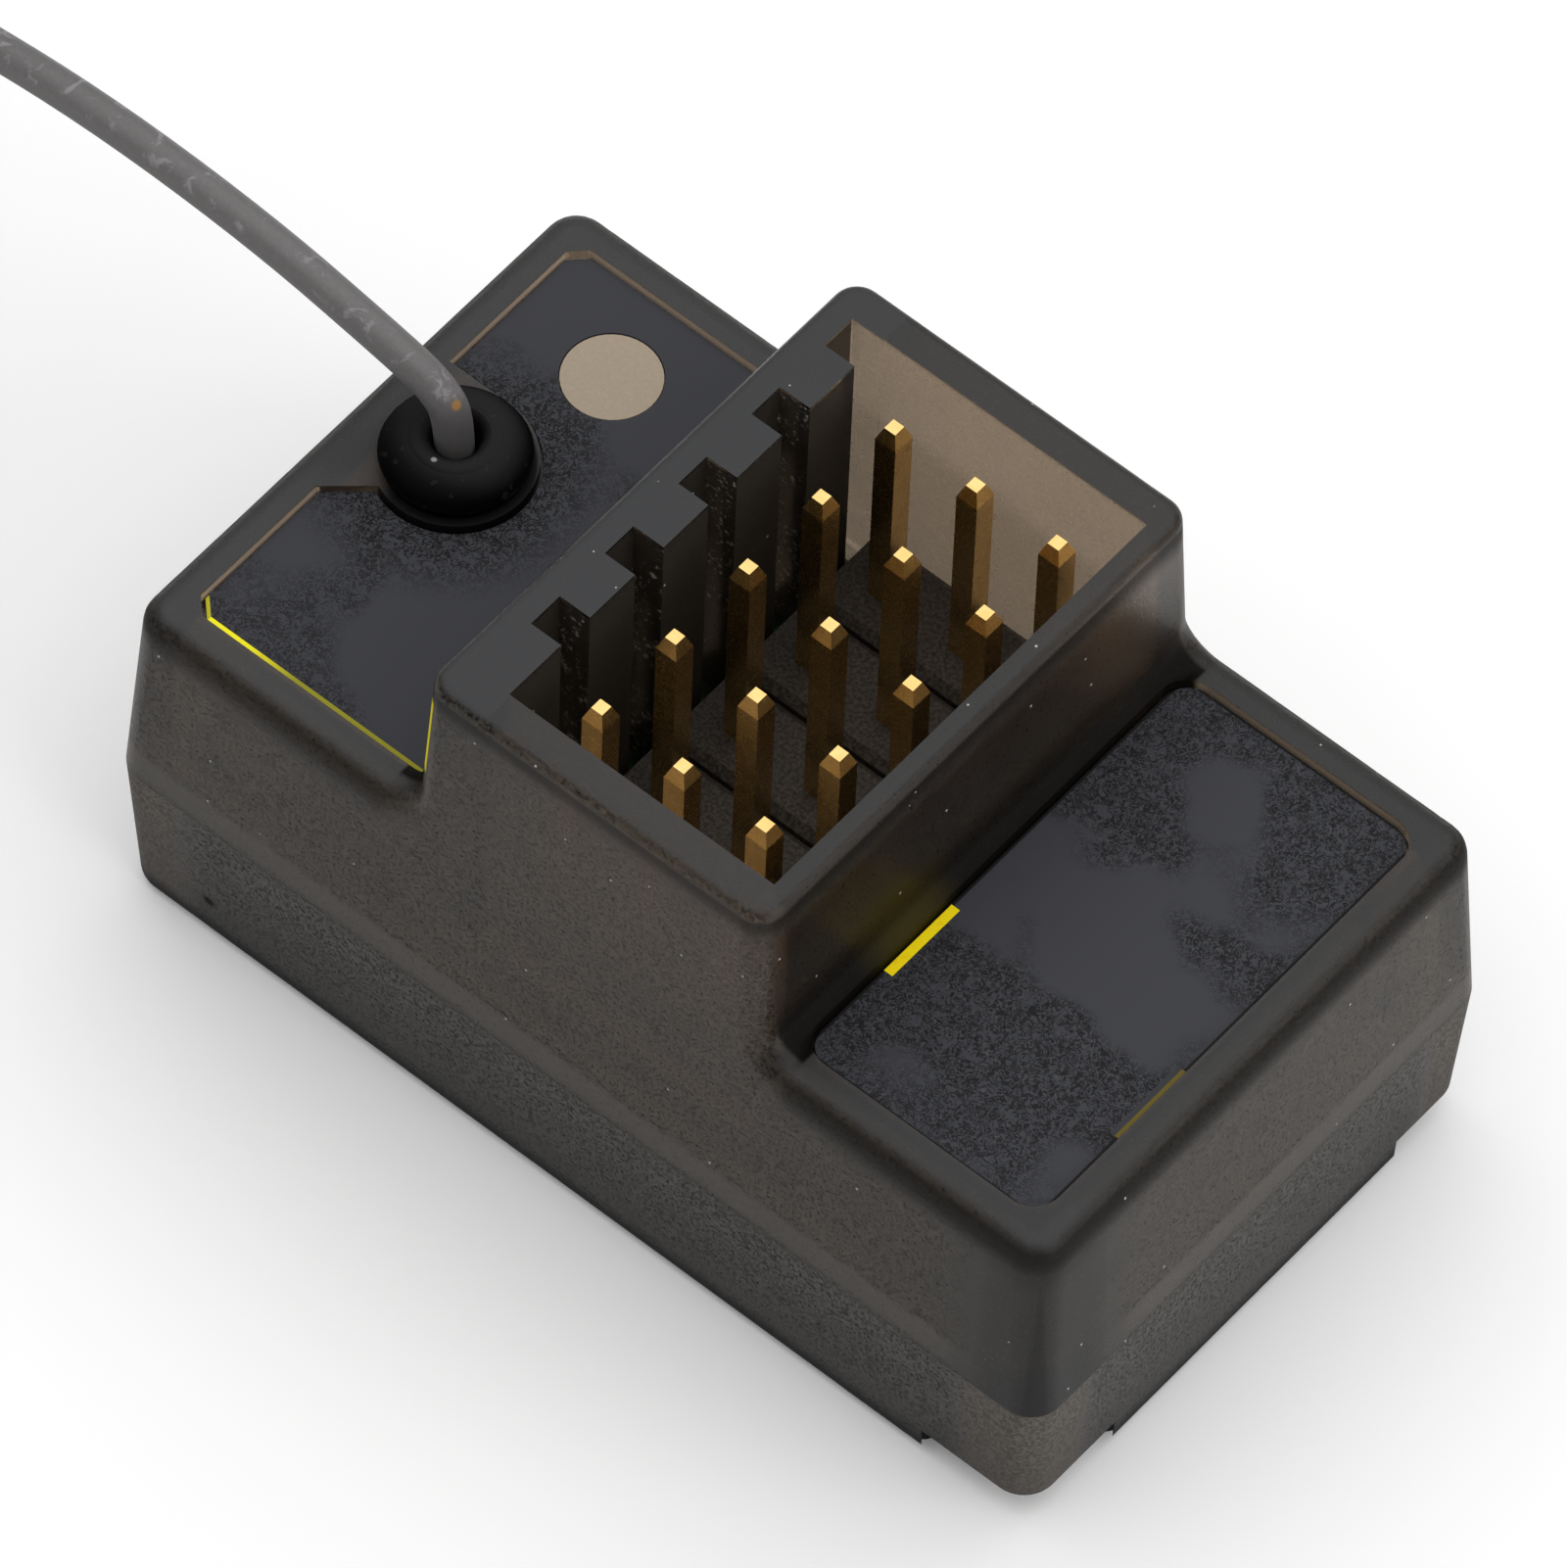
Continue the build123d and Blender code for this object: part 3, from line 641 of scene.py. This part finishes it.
def smooth_piece(node_name, name, material, flatness=100):
    """The CAD piece's own shape with its points merged and its rounds smooth."""
    piece = bpy.data.objects.new(name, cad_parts[node_name].data.copy())
    bpy.context.scene.collection.objects.link(piece)
    bpy.ops.object.select_all(action="DESELECT")
    piece.select_set(True)
    bpy.context.view_layer.objects.active = piece
    bpy.ops.object.mode_set(mode="EDIT")
    bpy.ops.mesh.select_all(action="SELECT")
    bpy.ops.mesh.remove_doubles(threshold=0.001 * MM)
    bpy.ops.mesh.select_mode(type="EDGE")
    bpy.ops.mesh.select_all(action="DESELECT")
    bpy.ops.mesh.edges_select_sharp(sharpness=SHARP_ANGLE)
    bpy.ops.mesh.mark_sharp()
    bpy.ops.object.mode_set(mode="OBJECT")
    bpy.ops.object.shade_smooth_by_angle(angle=SHARP_ANGLE)
    normals = piece.modifiers.new("flat_faces", "WEIGHTED_NORMAL")
    normals.keep_sharp = True
    normals.weight = flatness
    dress(piece, material)
    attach(piece, "root")
    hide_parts(node_name)
    return piece


smooth_piece("upper_shell", "tower_housing", HOUSING)
smooth_piece("lower_shell", "base_tray", TRAY, flatness=50)
smooth_piece("antenna_grommet", "rubber_grommet", RUBBER)
smooth_piece("antenna_tip", "bare_antenna_end", SHEATH)
smooth_piece("light_window", "round_light_window", WINDOW)


def grommet_lip():
    """The grommet's soft inner lip, pressed against the cable at the top of its mouth."""
    bpy.ops.object.select_all(action="DESELECT")
    bpy.ops.mesh.primitive_torus_add(
        major_radius=LIP_RADIUS * MM,
        minor_radius=LIP_THICKNESS / 2 * MM,
        major_segments=64,
        minor_segments=20,
        location=(GROMMET_X * MM, GROMMET_Y * MM, LIP_Z * MM),
    )
    bpy.ops.object.transform_apply(location=True, rotation=True, scale=True)
    lip = bpy.context.object
    lip.name = "grommet_lip"
    bpy.ops.object.shade_smooth()
    dress(lip, RUBBER)
    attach(lip, "root")
    return lip


grommet_lip()

NODE_LOOKS = (
    (("outer_label",), OUTER_FILM, "label_slate"),
    (("antenna_label",), ANTENNA_FILM, "label_slate"),
    (("outer_label_band",), BAND_YELLOW, "label_yellow"),
    (("antenna_label_edge",), EDGE_YELLOW, "label_yellow"),
    (("circuit_board",), GREEN, "board_laminate"),
    (("radio_chip", "microcontroller", "voltage_regulator"), BLACK, "chip_black"),
    (("crystal",), CAN, "crystal_can"),
    (("ceramic_capacitors",), CERAMIC, "capacitor_tan"),
    (("status_led",), LENS, "led_lens"),
    (("pin_solder", "antenna_solder"), SOLDER, "solder"),
    (tuple(f"header_strip_{index}" for index in range(1, 6)), BLACK, "header_black"),
    (
        tuple(
            f"{kind}_pin_{index}" for kind in ("signal", "power", "ground") for index in range(1, 6)
        ),
        GOLD,
        "pin_gold",
    ),
)
for names, material, slot_name in NODE_LOOKS:
    for name in names:
        dress(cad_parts[name], material)

# The antenna, in millimetres
CABLE_DIAMETER = 1.0
COIL_X = -31.07
COIL_Y = -8.4
COIL_RADIUS = 5.5
COIL_TOP_Z = 1.5
TURN_INSET = 0.52
TURN_DROP = 0.98
END_LENGTH = 4.4
END_Z = 0.55
POINTS_PER_TURN = 15
ROUTE = [
    (-11.3, -6.375, 7.16),
    (-11.3, 0.35, 7.16),
    (-11.3, 0.35, 12.9),
    (-11.9, 0.35, 13.75),
    (-13.3, 0.35, 14.15),
    (-17.6, 0.35, 15.02),
    (-23.05, 0.35, 15.2),
    (-28.2, 0.35, 14.45),
    (-32.45, 1.5, 12.2),
    (-35.4, 2.6, 8.5),
    (-36.57, 2.2, 4.3),
    (-36.57, -0.7, 1.5),
    (-36.57, -4.0, 1.5),
]


def between(value, start, end):
    """0 before the start, 1 after the end, and even between them."""
    return min(1.0, max(0.0, (value - start) / (end - start)))


def coil_point(turned):
    """A point of the coil after turning by this many degrees from where the lead meets it.

    The second turn lies inside the first and under it, and the wire swings out near its end.
    """
    inward = between(turned, 310, 335)
    down = between(turned, 320, 345)
    outward = between(turned, 640, 675)
    radius = COIL_RADIUS - TURN_INSET * inward + 2 * TURN_INSET * outward
    height = COIL_TOP_Z - TURN_DROP * down
    reach = radius / (0.75 + 0.25 * math.cos(math.tau / POINTS_PER_TURN))
    angle = math.pi + math.radians(turned)
    return (COIL_X + reach * math.cos(angle), COIL_Y + reach * math.sin(angle), height)


def antenna_points():
    """The lead's points, two and a quarter turns, and a straight end."""
    step = 360 / POINTS_PER_TURN
    count = round((2 * 360 + 90) / step)
    turns = [coil_point(step * index) for index in range(count)]
    leaving = [(COIL_X + along, COIL_Y - COIL_RADIUS, END_Z) for along in (0, END_LENGTH)]
    return ROUTE + turns + leaving


def antenna_wire():
    """The antenna's wire as one curve."""
    curve = bpy.data.curves.new("antenna_wire", "CURVE")
    curve.dimensions = "3D"
    points = antenna_points()
    spline = curve.splines.new("NURBS")
    spline.points.add(len(points) - 1)
    for point, place in zip(spline.points, points):
        point.co = (*(MM * value for value in place), 1)
    spline.order_u = 3
    spline.use_endpoint_u = True
    spline.resolution_u = 6
    curve.bevel_depth = CABLE_DIAMETER / 2 * MM
    curve.bevel_resolution = 5
    curve.use_fill_caps = True
    wire = bpy.data.objects.new("antenna_wire", curve)
    bpy.context.scene.collection.objects.link(wire)
    curve.materials.append(SHEATH)
    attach(wire, "root")
    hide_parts("antenna_lead", "antenna_coil")
    return wire


wire = antenna_wire()


# Studio
WORLD_STRENGTH = 0.34
# The camera's film and lens, in millimetres, and its place, in metres
FILM_WIDTH = 36
FOCAL_LENGTH = 473.729
CAMERA_PLACE = (0.171548, -0.219266, 0.418653)


def floor_and_world():
    """A pale floor under an evenly lit white world."""
    bpy.ops.object.select_all(action="DESELECT")
    bpy.ops.mesh.primitive_plane_add(size=3.0)
    floor = bpy.context.object
    floor.name = "floor"
    floor.data.materials.append(studio_floor())
    world = bpy.data.worlds.new("studio_world")
    bpy.context.scene.world = world
    world.use_nodes = True
    background = world.node_tree.nodes["Background"]
    background.inputs["Color"].default_value = (1, 1, 1, 1)
    background.inputs["Strength"].default_value = WORLD_STRENGTH


def soft_lamp(name, place, size, radiance):
    """A softbox that faces the object and looks this bright."""
    lamp = bpy.data.lights.new(name, "AREA")
    lamp.shape = "RECTANGLE"
    lamp.size, lamp.size_y = size
    lamp.energy = radiance * math.pi * size[0] * size[1]
    holder = bpy.data.objects.new(name, lamp)
    bpy.context.scene.collection.objects.link(holder)
    holder.location = place
    holder.rotation_euler = (-Vector(place)).to_track_quat("-Z", "Y").to_euler()


def photo_camera():
    """The camera that the photograph was taken with."""
    lens = bpy.data.cameras.new("camera")
    lens.sensor_width = FILM_WIDTH
    lens.lens = FOCAL_LENGTH
    lens.clip_start = 0.01
    camera = bpy.data.objects.new("camera", lens)
    bpy.context.scene.collection.objects.link(camera)
    right = Vector((0.76287, 0.64605, 0.02531))
    down = Vector((0.54565, -0.62232, -0.56123))
    forward = Vector((-0.34683, 0.44196, -0.82727))
    pose = Matrix((right, -down, -forward)).transposed().to_4x4()
    pose.translation = Vector(CAMERA_PLACE)
    camera.matrix_world = pose
    bpy.context.scene.camera = camera


floor_and_world()
soft_lamp("overhead_softbox", (-0.05, 0.08, 0.55), (1.0, 0.9), 1.25)
soft_lamp("right_softbox", (0.5, 0.05, 0.25), (0.5, 0.4), 1.65)
photo_camera()
bpy.context.scene.view_settings.view_transform = "Standard"
